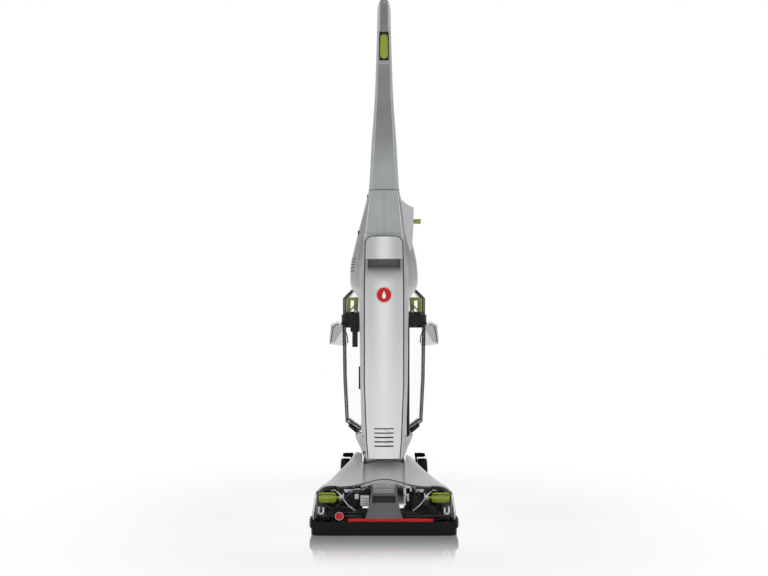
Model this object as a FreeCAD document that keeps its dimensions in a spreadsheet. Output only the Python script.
"""Upright wet and dry floor scrubber, as an assembly of its separate pieces.

The machine stands on the floor plane Z = 0. +X is its right as seen from the front, the front
faces -Y and +Z is up. The origin is the middle of its footprint. All lengths are millimetres.

Groups of pieces:
  base      chassis, hood, clear nozzle window, brushes and their drive, squeegee, wheels, pedals
  upright   two body shells, front panel, suction motor and fan, ducts, handle and trigger
  tanks     recovery tank with its lid, float cage and grips, and the solution tank with its cap
"""

import FreeCAD, Part
import Sketcher
import math
import os

V = FreeCAD.Vector

# ---------------------------------------------------------------------------------------------
# Driving dimensions
# ---------------------------------------------------------------------------------------------

DIMENSIONS = {
    # overall
    "wall": 2.5,                 # moulded wall thickness
    "running_gap": 0.06,         # radial clearance of a pin in its bore
    "body_gap": 0.6,             # clearance between neighbouring mouldings
    # base
    "base_half_width": 147.5,
    "chassis_bottom": 5,
    "chassis_top": 22,
    "pan_front": 171,
    "pan_floor": 2.5,
    "arm_inner": 49,             # the rear arms of the chassis run between these two distances
    "arm_outer": 70,
    "arm_back": 140,
    "brush_row": 110,            # distance of the brush row in front of the origin
    "brush_bay_half_depth": 27,
    "brush_bay_half_width": 136,
    "squeegee_row": 70,
    "squeegee_half_width": 108,
    "window_wall": 2.2,
    "window_bottom": 24,
    "bumper_top": 29,
    "channel_half_width": 46,
    "ridge_half_width": 49,
    "slot_half_width": 48.5,
    "slot_front": -10,
    "blade_thickness": 3,
    "boss_inner": 60,
    "motor_side": 66,
    "motor_offset": 32,
    "motor_bottom": 40,
    "motor_height": 26,
    "motor_shaft_radius": 2.5,
    "cover_top": 40,
    "pinion_turn": 18,
    "spray_row": 146,
    "spray_height": 34,
    "pedal_hinge_back": 93,
    "pedal_hinge_height": 106,
    "pedal_height": 119,
    "pedal_pin_radius": 2.5,
    "roller_pin_radius": 2,
    "latch_centre": 118,
    "latch_length": 36,
    "latch_radius": 9.5,
    "latch_row": 104,
    "latch_height": 65,
    # brush drive
    "gear_module": 2,
    "brush_teeth": 22,
    "pinion_teeth": 10,
    "gear_bottom": 26,
    "gear_thickness": 8,
    "brush_disc_radius": 20.5,
    "brush_shaft_radius": 7,
    "bristle_length": 14,
    # pivot of the upright on the base
    "pivot_back": 50,
    "pivot_height": 70,
    "pivot_pin_radius": 7,
    "drum_radius": 48,
    "drum_half_width": 45,
    # rear wheels
    "wheel_radius": 57,
    "wheel_back": 121,
    "wheel_inner_face": 76,
    "wheel_width": 22,
    "axle_radius": 4,
    "tyre_thickness": 9,
    # front rollers
    "roller_radius": 9,
    "roller_side": 125,
    "roller_row": 153,
    # upright
    "panel_bottom": 139,
    "panel_top": 613,
    "neck_top": 714,
    "column_front": 44,
    "foot_ledge": 183,
    "panel_rim_inner": 30,
    "panel_rim_outer": 41,
    "panel_edge_y": -46,
    "panel_crown_y": -57,
    "panel_corner": 15,
    "vent_low": 166,
    "grip_half_width": 35,
    "grip_lip": 565,
    "grip_foot": 525,
    "badge_height": 488.5,
    "badge_radius": 17,
    # suction
    "suction_top": 150,
    "fan_top": 176,
    "fan_housing_radius": 38,
    "fan_shaft_radius": 3,
    "duct_inner": 28,
    "duct_outer": 56,
    "duct_front": 12,
    "duct_back": 40,
    "duct_top": 452,
    "water_tube_radius": 4,
    "bellows_radius": 13,
    "bellows_height": 80,
    "bellows_start": -33.5,
    "bellows_end": 1.4,
    # tanks
    "tank_wall": 2.5,
    "collar_low": 421,
    "collar_high": 443,
    "latch_pin_y": 143.5,
    "latch_pin_z": 432,
    "latch_pin_radius": 2,
    "latch_lever_half_width": 17,
    "solution_top": 672,
    "cap_neck_radius": 16,
    "cap_y": 78,
    "valve_height": 525,
    "valve_radius": 6,
    # handle and its fittings
    "grip_top": 1143,
    "tenon_half_width": 21.4,
    "tenon_front": -16.4,
    "tenon_back": 3.4,
    "selector_height": 648,
    "selector_radius": 4,
    "gland_root": 11,
    "gland_height": 725,
    "cord_bore_radius": 4,
    "gland_seat_radius": 5.5,
    "upper_hook_height": 950,
    "lower_hook_height": 775,
    "trigger_pin_y": -12,
    "trigger_pin_z": 1003,
    "trigger_pin_radius": 1.5,
    "trigger_low": 998,
    "trigger_high": 1058,
    "trigger_half_width": 9,
}

doc = FreeCAD.newDocument("floor_scrubber")
dims = doc.addObject("Spreadsheet::Sheet", "dims")
for row, (alias, value) in enumerate(DIMENSIONS.items(), 1):
    dims.set(f"A{row}", alias)
    dims.set(f"B{row}", str(value))
    dims.setAlias(f"B{row}", alias)
doc.recompute()

SIDES = (("left", -1), ("right", 1))
PIECES = {}   # node name: the document object whose shape is that piece


def size(expression):
    """The value of a number, or of an expression in the sheet's names."""
    if isinstance(expression, (int, float)):
        return float(expression)
    return float(dims.evalExpression(expression))


def text(expression):
    return expression if isinstance(expression, str) else repr(float(expression))


def piece(name, obj):
    """Registers a document object as the sub-part of that name."""
    obj.Label = name
    PIECES[name] = obj
    return obj


# ---------------------------------------------------------------------------------------------
# Part Design helpers
# ---------------------------------------------------------------------------------------------

def new_body(name):
    return piece(name, doc.addObject("PartDesign::Body", name))


def new_sketch(body, role, name, lift=0):
    """An empty sketch on one of the body's origin planes, lifted along that plane's normal."""
    sketch = body.newObject("Sketcher::SketchObject", f"{body.Name}_{name}")
    plane = next(f for f in body.Origin.OriginFeatures if f.Role == role)
    sketch.AttachmentSupport = [(plane, "")]
    sketch.MapMode = "FlatFace"
    sketch.setExpression(".AttachmentOffset.Base.z", text(lift))
    return sketch


def tie_point(sketch, geometry, position, x, y, tag):
    """Ties a point of the sketch to two expressions in the sheet."""
    for kind, value, letter in (("DistanceX", x, "x"), ("DistanceY", y, "y")):
        constraint = Sketcher.Constraint(kind, -1, 1, geometry, position, size(value))
        sketch.renameConstraint(sketch.addConstraint(constraint), f"{letter}{tag}")
        sketch.setExpression(f"Constraints.{letter}{tag}", text(value))


def add_outline(sketch, vertices, tag="p"):
    """A closed outline of straight sides through (x, y) vertices, tied to the sheet."""
    first = sketch.GeometryCount
    count = len(vertices)
    corners = [V(size(x), size(y), 0) for x, y in vertices]
    for i in range(count):
        sketch.addGeometry(Part.LineSegment(corners[i], corners[(i + 1) % count]), False)
    for i in range(count):
        neighbour = first + (i + 1) % count
        sketch.addConstraint(Sketcher.Constraint("Coincident", first + i, 2, neighbour, 1))
    for i, (x, y) in enumerate(vertices):
        tie_point(sketch, first + i, 1, x, y, f"{tag}{i}")


def add_circle(sketch, x, y, radius, tag):
    index = sketch.addGeometry(Part.Circle(V(size(x), size(y), 0), V(0, 0, 1), size(radius)), False)
    tie_point(sketch, index, 3, x, y, tag)
    constraint = Sketcher.Constraint("Radius", index, size(radius))
    sketch.renameConstraint(sketch.addConstraint(constraint), f"radius_{tag}")
    sketch.setExpression(f"Constraints.radius_{tag}", text(radius))


def feature(body, kind, name, sketch, length, reverse=False, both_ways=False):
    """A Pad or a Pocket of a sketch. A Pocket that removes nothing is an error."""
    before = body.Shape.Volume if kind == "Pocket" else 0
    made = body.newObject(f"PartDesign::{kind}", f"{body.Name}_{name}")
    made.Profile = sketch
    made.setExpression("Length", text(length))
    made.SideType = "Symmetric" if both_ways else "One side"
    made.Reversed = reverse
    doc.recompute()
    if kind == "Pocket" and not body.Shape.Volume < before - 1e-6:
        raise RuntimeError(f"{body.Name}: {name} cuts nothing")
    return made


def pad(body, sketch, length, name="pad", **ways):
    return feature(body, "Pad", name, sketch, length, **ways)


def pocket(body, sketch, length, name="pocket", **ways):
    return feature(body, "Pocket", name, sketch, length, **ways)


def round_edges(body, radius, wanted, kind="Fillet", name="rounding"):
    """Rounds or chamfers the body's edges for which wanted(edge) is true."""
    base = body.Tip
    chosen = [f"Edge{i}" for i, edge in enumerate(body.Shape.Edges, 1) if wanted(edge)]
    made = body.newObject(f"PartDesign::{kind}", f"{body.Name}_{name}")
    made.Base = (base, chosen)
    made.setExpression("Size" if kind == "Chamfer" else "Radius", text(radius))
    doc.recompute()
    return made


def put(obj, x=0, y=0, z=0):
    """Ties an object's position to the sheet."""
    for axis, value in (("x", x), ("y", y), ("z", z)):
        obj.setExpression(f".Placement.Base.{axis}", text(value))


# ---------------------------------------------------------------------------------------------
# Part primitives and booleans
# ---------------------------------------------------------------------------------------------

TURNS = {
    "z": FreeCAD.Rotation(),
    "x": FreeCAD.Rotation(V(0, 1, 0), 90),
    "y": FreeCAD.Rotation(V(1, 0, 0), -90),
}


def cylinder(name, radius, height, at, along="z"):
    """A cylinder that starts at the point `at` and runs along +X, +Y or +Z."""
    made = doc.addObject("Part::Cylinder", name)
    made.setExpression("Radius", text(radius))
    made.setExpression("Height", text(height))
    made.Placement = FreeCAD.Placement(V(), TURNS[along])
    put(made, *at)
    return made


def cone(name, low_radius, high_radius, height, at, along="z"):
    made = doc.addObject("Part::Cone", name)
    made.setExpression("Radius1", text(low_radius))
    made.setExpression("Radius2", text(high_radius))
    made.setExpression("Height", text(height))
    made.Placement = FreeCAD.Placement(V(), TURNS[along])
    put(made, *at)
    return made


def block(name, low, high):
    """A box between two opposite corners."""
    made = doc.addObject("Part::Box", name)
    for prop, a, b in zip(("Length", "Width", "Height"), low, high):
        made.setExpression(prop, f"({text(b)}) - ({text(a)})")
    put(made, *low)
    return made


def cut(name, base, tool):
    made = doc.addObject("Part::Cut", name)
    made.Base, made.Tool = base, tool
    return made


def fuse(name, *shapes):
    made = doc.addObject("Part::MultiFuse", name)
    made.Shapes = list(shapes)
    made.Refine = True
    return made


def solid_feature(name, shape):
    """A piece whose shape comes from Part's own functions."""
    made = doc.addObject("Part::Feature", name)
    made.Shape = shape
    return piece(name, made)


# ---------------------------------------------------------------------------------------------
# Shape functions for the curved mouldings, which read their sizes from the sheet
# ---------------------------------------------------------------------------------------------

def box_shape(low, high):
    low, high = V(*low), V(*high)
    span = high - low
    return Part.makeBox(span.x, span.y, span.z, low)


def rod_shape(radius, start, end):
    start, end = V(*start), V(*end)
    return Part.makeCylinder(radius, (end - start).Length, start, end - start)


def prism(points, start, run, normal="z"):
    """A straight prism of a closed outline. `normal` names the axis it runs along."""
    place = {
        "x": lambda p: V(start, p[0], p[1]),
        "y": lambda p: V(p[0], start, p[1]),
        "z": lambda p: V(p[0], p[1], start),
    }[normal]
    wire = Part.makePolygon([place(p) for p in points] + [place(points[0])])
    direction = {"x": V(run, 0, 0), "y": V(0, run, 0), "z": V(0, 0, run)}[normal]
    return Part.Face(wire).extrude(direction)


def rounded_wire(half_width, front, back, z, corner):
    """A horizontal rounded rectangle: |x| up to half_width, y from front to back."""
    w, r = half_width, corner
    k = r * (1 - math.sqrt(0.5))
    corners = [
        (V(w - r, front, z), V(w - k, front + k, z), V(w, front + r, z)),
        (V(w, back - r, z), V(w - k, back - k, z), V(w - r, back, z)),
        (V(-w + r, back, z), V(-w + k, back - k, z), V(-w, back - r, z)),
        (V(-w, front + r, z), V(-w + k, front + k, z), V(-w + r, front, z)),
    ]
    edges = []
    for i, (start, middle, end) in enumerate(corners):
        edges.append(Part.Arc(start, middle, end).toShape())
        edges.append(Part.LineSegment(end, corners[(i + 1) % 4][0]).toShape())
    return Part.Wire(edges)


def loft(wires, ruled=False):
    return Part.makeLoft(wires, True, ruled)


def joined(*shapes):
    first, *others = shapes
    return first.fuse(others).removeSplitter() if others else first


def biggest(shape):
    """The largest solid of a shape, without the slivers a boolean may leave."""
    return max(shape.Solids, key=lambda s: s.Volume)


def mirror_x(shape):
    return shape.mirror(V(0, 0, 0), V(1, 0, 0))


# ---------------------------------------------------------------------------------------------
# Base: the curved envelope that the hood and the clear window are cut from
# ---------------------------------------------------------------------------------------------

# Cross-sections of the base from front to back: y, half width, height of the side, height of
# the shoulder (at SHOULDER_SPOT of the half width) and height at the centre.
BASE_STATIONS = (
    (-171, 137, 27, 29, 31),
    (-164, 144, 33, 37, 41),
    (-150, 147, 41, 49, 55),
    (-122, 146, 55, 69, 79),
    (-98, 143, 66, 85, 98),
    (-70, 127, 74, 98, 114),
    (-40, 105, 85, 114, 127),
    (-10, 86, 98, 126, 135),
    (20, 74, 106, 134, 139),
    (55, 70, 100, 130, 134),
    (86, 70, 70, 100, 104),
)
SHOULDER_SPOT = 0.6


def base_section(y, half_width, side, shoulder, centre, bottom):
    """The outline of the base in the plane of that y."""
    knee = SHOULDER_SPOT * half_width
    crown = Part.BSplineCurve()
    crown.interpolate(
        Points=[
            V(half_width, y, side), V(knee, y, shoulder), V(0, y, centre),
            V(-knee, y, shoulder), V(-half_width, y, side),
        ],
        InitialTangent=V(0, 0, half_width),
        FinalTangent=V(0, 0, -half_width),
    )
    low_right = V(half_width, y, bottom)
    low_left = V(-half_width, y, bottom)
    return Part.Wire([
        Part.LineSegment(low_left, low_right).toShape(),
        Part.LineSegment(low_right, V(half_width, y, side)).toShape(),
        crown.toShape(),
        Part.LineSegment(V(-half_width, y, side), low_left).toShape(),
    ])


def base_envelope(inset=0, drop=0):
    """The base as one solid block. `inset` shrinks it all round and `drop` lowers it."""
    bottom = size("dims.chassis_top") - (1 if inset else 0)
    first, last = 0, len(BASE_STATIONS) - 1
    wires = []
    for i, (y, half_width, side, shoulder, centre) in enumerate(BASE_STATIONS):
        if i == first:
            y += inset
        if i == last and inset:
            y += 1   # leaves the back of the base open
        heights = [height - inset for height in (side, shoulder, centre)]
        wires.append(base_section(y, half_width - inset, *heights, bottom))
    block = loft(wires)
    block.translate(V(0, 0, -drop))
    return block


def window_zone(back_off=0):
    """Everything in front of the curved joint between the window and the hood."""
    side, joint_side, joint_centre = 170, -104 - back_off, -92 - back_off
    far, top = -210, 200
    joint = Part.Arc(V(side, joint_side, 0), V(0, joint_centre, 0), V(-side, joint_side, 0))
    outline = Part.Wire([
        Part.LineSegment(V(-side, far, 0), V(side, far, 0)).toShape(),
        Part.LineSegment(V(side, far, 0), V(side, joint_side, 0)).toShape(),
        joint.toShape(),
        Part.LineSegment(V(-side, joint_side, 0), V(-side, far, 0)).toShape(),
    ])
    return Part.Face(outline).extrude(V(0, 0, top))


def both_sides(low, high):
    """Two boxes, mirrored about X = 0."""
    right = box_shape(low, high)
    return right.fuse(mirror_x(right))


def latch_openings():
    """Where the two barrel latches show through the window and the hood."""
    centre, row = size("dims.latch_centre"), -size("dims.latch_row")
    reach, around, bottom, top = size("dims.latch_length") / 2 + 1, 14, 40, 120
    return both_sides((centre - reach, row - around, bottom), (centre + reach, row + around, top))


def nozzle_hood():
    wall = size("dims.wall")
    channel = size("dims.channel_half_width")
    ridge = size("dims.ridge_half_width")
    slot = size("dims.slot_half_width")
    depth, rise, far = 5, 1.8, 300
    outer = base_envelope()
    inner = base_envelope(inset=wall)
    lowered = base_envelope(drop=depth)
    lowered_inner = base_envelope(inset=wall, drop=depth)
    sides = both_sides((channel, -far, 0), (far, far, far))
    middle = box_shape((-channel, -far, 0), (channel, far, far))
    web = both_sides((channel - wall, -far, 0), (channel + wall, far, far))
    shell = outer.cut(inner).common(sides)
    channel_floor = lowered.cut(lowered_inner).common(middle)
    bead = outer.copy()
    bead.translate(V(0, 0, rise))
    bead = bead.cut(lowered_inner).common(web)
    hood = shell.fuse([channel_floor, bead])
    hood = hood.cut(window_zone()).cut(latch_openings())
    foot_slot = box_shape((-slot, size("dims.slot_front"), 0), (slot, far, far))
    below = box_shape((-far, -far, -1), (far, far, size("dims.chassis_top")))
    hood = hood.cut(foot_slot).cut(below)
    return solid_feature("nozzle_hood", biggest(hood))


def nozzle_window():
    wall = size("dims.window_wall")
    gap = size("dims.body_gap")
    outer = base_envelope()
    inner = base_envelope(inset=wall)
    far = 300
    below = box_shape((-far, -far, -1), (far, far, size("dims.window_bottom")))
    window = outer.cut(inner).common(window_zone(gap)).cut(below)
    return solid_feature("nozzle_window", biggest(window.cut(latch_openings())))


# ---------------------------------------------------------------------------------------------
# Base: chassis, bumper, squeegee
# ---------------------------------------------------------------------------------------------

def mirrored(right_side):
    """A closed outline from the points of its right side, listed from front to back."""
    left = [(f"-({text(x)})", y) for x, y in reversed(right_side)]
    return list(right_side) + left


def rectangle(x_low, x_high, y_low, y_high):
    return [(x_low, y_low), (x_high, y_low), (x_high, y_high), (x_low, y_high)]


def front_corner(out):
    """The rounded front right corner of the base's plan, moved outwards by `out`."""
    width, front = "dims.base_half_width", "dims.pan_front"
    return [
        (f"{width} - 14 + ({out}) * 0.4", f"-({front}) - ({out})"),
        (f"{width} - 5 + ({out}) * 0.8", f"-({front}) + 6 - ({out}) * 0.8"),
        (f"{width} - 2 + ({out})", f"-({front}) + 20"),
    ]


def base_chassis():
    body = new_body("base_chassis")
    plan = new_sketch(body, "XY_Plane", "plan", "dims.chassis_bottom")
    inner, outer = "dims.arm_inner", "dims.arm_outer"
    add_outline(plan, mirrored(front_corner(0) + [
        ("dims.base_half_width - 3", -104), ("dims.base_half_width - 21", -70),
        ("dims.base_half_width - 43", -40), (outer, 14), (outer, "dims.arm_back"),
        (inner, "dims.arm_back"), (inner, -9)]))
    pad(body, plan, "dims.chassis_top - dims.chassis_bottom", "tray")

    hollow = new_sketch(body, "XY_Plane", "hollow", "dims.chassis_top")
    add_outline(hollow, mirrored(front_corner("-3") + [
        ("dims.base_half_width - 6", -104), ("dims.base_half_width - 24", -71),
        ("dims.base_half_width - 46", -41), ("dims.arm_outer + 4", -14)]))
    pocket(body, hollow, "dims.chassis_top - dims.chassis_bottom - dims.pan_floor", "tray_hollow")

    openings = new_sketch(body, "XY_Plane", "openings", "dims.chassis_top")
    bay, depth, row = "dims.brush_bay_half_width", "dims.brush_bay_half_depth", "dims.brush_row"
    add_outline(openings, rectangle(f"-{bay}", bay, f"-{row} - {depth}", f"-{row} + {depth}"), "bay")
    reach, line = "dims.squeegee_half_width + 1.5", "dims.squeegee_row"
    add_outline(openings, rectangle(f"-({reach})", reach, f"-{line} - 8", f"-{line} + 8"), "blade")
    add_outline(openings, rectangle(-61, 61, -164, -154), "nozzle")
    for side, tag in ((-1, "left"), (1, "right")):
        middle = f"{side} * dims.roller_side"
        add_outline(openings, rectangle(
            f"{middle} - 6.5", f"{middle} + 6.5",
            "-dims.roller_row - 10.5", "-dims.roller_row + 10.5"), tag)
    pocket(body, openings, "dims.chassis_top", "floor_openings")

    ear = [("dims.pivot_back - 20", 12), ("dims.pivot_back + 20", 12),
           ("dims.pivot_back + 15", "dims.pivot_height + 12"),
           ("dims.pivot_back - 15", "dims.pivot_height + 12")]
    boss = [("dims.wheel_back - 34", 12), ("dims.wheel_back + 19", 12),
            ("dims.wheel_back + 19", 20), ("dims.wheel_back + 12", "dims.wheel_radius + 11"),
            ("dims.wheel_back - 12", "dims.wheel_radius + 11"),
            ("dims.wheel_back - 22", "dims.pedal_hinge_height + 5"),
            ("dims.wheel_back - 34", "dims.pedal_hinge_height + 5")]
    ribs = rectangle("-dims.roller_row - 9", "-dims.roller_row + 9", 6, 16)
    walls = (
        ("ear", ear, "dims.arm_inner", "dims.arm_inner + 8"),
        ("boss", boss, "dims.boss_inner", "dims.arm_outer"),
        ("roller_rib_in", ribs, "dims.roller_side - 10", "dims.roller_side - 6.5"),
        ("roller_rib_out", ribs, "dims.roller_side + 6.5", "dims.roller_side + 10"),
    )
    for name, outline, low, high in walls:
        for side, start in (("right", low), ("left", f"-({high})")):
            sketch = new_sketch(body, "YZ_Plane", f"{name}_{side}", start)
            add_outline(sketch, outline)
            pad(body, sketch, f"({high}) - ({low})", f"{name}_{side}_wall")

    bores = new_sketch(body, "YZ_Plane", "bores")
    gap = "dims.running_gap"
    add_circle(bores, "dims.pivot_back", "dims.pivot_height", f"dims.pivot_pin_radius + {gap} / 2", "pin")
    add_circle(bores, "dims.wheel_back", "dims.wheel_radius", f"dims.axle_radius + {gap} / 2", "axle")
    add_circle(bores, "dims.pedal_hinge_back", "dims.pedal_hinge_height",
               f"dims.pedal_pin_radius + {gap}", "pedal")
    add_circle(bores, "-dims.roller_row", "dims.roller_radius",
               f"dims.roller_pin_radius + {gap}", "roller")
    pocket(body, bores, "2 * dims.base_half_width", "cross_bores", both_ways=True)


def front_bumper():
    body = new_body("front_bumper")
    bands = (
        # name, bottom, top, outer step, inner step from the chassis
        ("skirt", 1, 15, 3.5, 0),
        ("belt", 15, "dims.chassis_top", 7, 0),
        ("lip", "dims.chassis_top", "dims.bumper_top", 7, 3.5),
    )
    for name, low, high, outer, inner in bands:
        sketch = new_sketch(body, "XY_Plane", name, low)
        outside = front_corner(outer) + [(f"dims.base_half_width - 2 + {outer}", -112)]
        inside = front_corner(inner) + [(f"dims.base_half_width - 2 + {inner}", -112)]
        left_out = [(f"-({x})", y) for x, y in reversed(outside)]
        left_in = [(f"-({x})", y) for x, y in reversed(inside)]
        add_outline(sketch, outside + list(reversed(inside)) + list(reversed(left_in)) + left_out)
        pad(body, sketch, f"({text(high)}) - ({text(low)})", f"{name}_band")


def squeegee():
    holder = new_body("squeegee_holder")
    profile = new_sketch(holder, "YZ_Plane", "profile")
    row, half = "-dims.squeegee_row", "dims.blade_thickness / 2"
    add_outline(profile, [
        (f"{row} - 7", 5), (f"{row} - {half}", 5), (f"{row} - {half}", 12), (f"{row} + {half}", 12),
        (f"{row} + {half}", 5), (f"{row} + 7", 5), (f"{row} + 7", 14), (f"{row} + 3", 18),
        (f"{row} - 3", 18), (f"{row} - 7", 14)])
    pad(holder, profile, "2 * dims.squeegee_half_width", "channel", both_ways=True)

    blade = new_body("squeegee_blade")
    strip = new_sketch(blade, "YZ_Plane", "strip")
    add_outline(strip, [
        (f"{row} - {half}", 0.8), (f"{row} - {half} + 0.8", 0), (f"{row} + {half} - 0.8", 0),
        (f"{row} + {half}", 0.8), (f"{row} + {half}", 12), (f"{row} - {half}", 12)])
    pad(blade, strip, "2 * dims.squeegee_half_width - 4", "blade", both_ways=True)


# ---------------------------------------------------------------------------------------------
# Base: brushes, gears and their motor
# ---------------------------------------------------------------------------------------------

def involute_gear(teeth, bottom, height, turn=0):
    """A spur gear on the Z axis. The teeth are a little short and thin, to run freely."""
    module = size("dims.gear_module")
    pressure, backlash = math.radians(20), 0.42
    pitch = module * teeth / 2
    base = pitch * math.cos(pressure)
    tip, root = pitch + 0.75 * module, pitch - 1.1 * module
    at_pitch = math.tan(pressure) - pressure
    half_tooth = (math.pi * module / 2 - backlash) / (2 * pitch)
    steps = 4
    points = []

    def flank_angle(radius):
        unwound = math.acos(min(1, base / max(radius, base)))
        return half_tooth + at_pitch - (math.tan(unwound) - unwound)

    radii = [root] + [max(base, root) + (tip - max(base, root)) * i / steps for i in range(steps + 1)]
    for tooth in range(teeth):
        middle = turn + 2 * math.pi * tooth / teeth
        rising = [(radius, middle - flank_angle(radius)) for radius in radii]
        falling = [(radius, middle + flank_angle(radius)) for radius in reversed(radii)]
        points += [V(r * math.cos(a), r * math.sin(a), bottom) for r, a in rising + falling]
    distinct = [p for i, p in enumerate(points) if (p - points[i - 1]).Length > 1e-4]
    return Part.Face(Part.makePolygon(distinct + distinct[:1])).extrude(V(0, 0, height))


def brush_centres():
    pitch = size("dims.gear_module * dims.brush_teeth")
    count = 6
    return [((i - (count - 1) / 2) * pitch, -size("dims.brush_row")) for i in range(count)]


def spin_brushes():
    """Six brushes in a row. Each one's gear meshes with its neighbours' gears."""
    teeth = int(size("dims.brush_teeth"))
    bristle, disc = size("dims.bristle_length"), size("dims.brush_disc_radius")
    shaft = size("dims.brush_shaft_radius")
    gear_bottom, thick = size("dims.gear_bottom"), size("dims.gear_thickness")
    disc_thickness, hub = 5, 9
    for number, (x, y) in enumerate(brush_centres(), 1):
        # the bristles leave a hollow in the middle of the brush
        ring = Part.makeCone(disc - 1.5, disc - 2.5, bristle, V())
        ring = ring.cut(Part.makeCylinder(hub, bristle - 2, V()))
        plate = Part.makeCylinder(disc, disc_thickness, V(0, 0, bristle))
        spindle = Part.makeCylinder(shaft, gear_bottom + thick - bristle, V(0, 0, bristle))
        half_pitch = math.pi / teeth if number % 2 == 0 else 0
        gear = involute_gear(teeth, gear_bottom, thick, half_pitch)
        brush = joined(ring, plate, spindle, gear)
        made = solid_feature(f"spin_brush_{number}", brush)
        made.Placement.Base = V(x, y, 0)


def motor_pinion():
    x, y = size("dims.motor_side"), -size("dims.brush_row - dims.motor_offset")
    teeth = int(size("dims.pinion_teeth"))
    bottom, thick = size("dims.gear_bottom"), size("dims.gear_thickness")
    bore_top = size("dims.motor_bottom + 6")
    gear = involute_gear(teeth, bottom, thick, math.radians(size("dims.pinion_turn")))
    shaft = Part.makeCylinder(size("dims.motor_shaft_radius"), bore_top - bottom, V(0, 0, bottom))
    made = solid_feature("motor_pinion", joined(gear, shaft))
    made.Placement.Base = V(x, y, 0)


def brush_plate():
    """Carries the brush spindles between the discs and the gears."""
    body = new_body("brush_plate")
    plan = new_sketch(body, "XY_Plane", "plan", 21)
    bay, row = "dims.brush_bay_half_width", "dims.brush_row"
    add_outline(plan, [
        (f"-{bay} + 1", f"-{row} - 26"), (f"{bay} - 1", f"-{row} - 26"),
        (f"{bay} - 1", f"-{row} + 25"), (90, f"-{row} + 25"), (90, -56), (42, -56),
        (42, f"-{row} + 25"), (f"-{bay} + 1", f"-{row} + 25")])
    gap = "dims.running_gap"
    for number, (x, _) in enumerate(brush_centres()):
        add_circle(plan, f"{x}", f"-{row}", f"dims.brush_shaft_radius + {gap}", f"b{number}")
    pad(body, plan, 3)


def gear_cover():
    """A shallow lid over the gear train. The motor stands on it."""
    body = new_body("gear_cover")
    plan = new_sketch(body, "XY_Plane", "plan", 24)
    row = "dims.brush_row"
    outline = [
        (-132, f"-{row} - 25.5"), (132, f"-{row} - 25.5"), (134.5, f"-{row} - 20"),
        (134.5, f"-{row} + 25"), (90, f"-{row} + 25"), (90, -56), (42, -56),
        (42, f"-{row} + 25"), (-134.5, f"-{row} + 25"), (-134.5, f"-{row} - 20")]
    add_outline(plan, outline)
    pad(body, plan, "dims.cover_top - 24", "block")
    hollow = new_sketch(body, "XY_Plane", "hollow", 24)
    inside = [
        (-134, f"-{row} - 25"), (134, f"-{row} - 25"), (134, f"-{row} + 24.5"),
        (79, f"-{row} + 24.5"), (79, -64), (53, -64), (53, f"-{row} + 24.5"),
        (-134, f"-{row} + 24.5")]
    add_outline(hollow, inside)
    pocket(body, hollow, "dims.cover_top - 24 - dims.wall", "gear_space", reverse=True)
    hole = new_sketch(body, "XY_Plane", "shaft_hole", "dims.cover_top")
    add_circle(hole, "dims.motor_side", "-(dims.brush_row - dims.motor_offset)", 4, "shaft")
    pocket(body, hole, "2 * dims.wall", "shaft_bore")


def brush_motor():
    x, y = "dims.motor_side", "-(dims.brush_row - dims.motor_offset)"
    flange_thickness, can_radius, flange_radius, end_radius, end_height, bore_depth = 3, 19, 23, 12, 5, 30
    can_bottom = f"dims.cover_top + {flange_thickness}"
    can = cylinder("brush_motor_can", can_radius, "dims.motor_height", (x, y, can_bottom))
    flange = cylinder("brush_motor_flange", flange_radius, flange_thickness, (x, y, "dims.cover_top"))
    end = cylinder("brush_motor_end", end_radius, end_height, (x, y, f"{can_bottom} + dims.motor_height"))
    whole = fuse("brush_motor_body", can, flange, end)
    bore = cylinder("brush_motor_bore", "dims.motor_shaft_radius + dims.running_gap", bore_depth,
                    (x, y, "dims.cover_top - 1"))
    piece("brush_motor", cut("brush_motor_bored", whole, bore))


def spray_bar():
    """Two tubes beside the nozzle duct, with nozzles that point down at the brushes."""
    y, z, radius = "-dims.spray_row", "dims.spray_height", 3.5
    near, far = 46, 128
    bars = []
    for side, sign in SIDES:
        bar = cylinder(f"spray_tube_{side}", radius, far - near, (span(sign, near, far), y, z), along="x")
        nozzles = [cone(f"spray_nozzle_{side}_{x}", 1.2, 2.4, 7, (sign * x, y, f"{z} - 9"))
                   for x in (66, 110)]
        bars.append(fuse(f"spray_bar_{side}", bar, *nozzles))
    group = doc.addObject("Part::Compound", "spray_bar")
    group.Links = bars
    piece("spray_bar", group)


# ---------------------------------------------------------------------------------------------
# Base: wheels, rollers, pins, pedals, latches and screws
# ---------------------------------------------------------------------------------------------

def span(sign, low, high):
    """Where a piece that lies between two distances from the middle plane starts, in X."""
    return low if sign > 0 else f"-({text(high)})"


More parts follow.
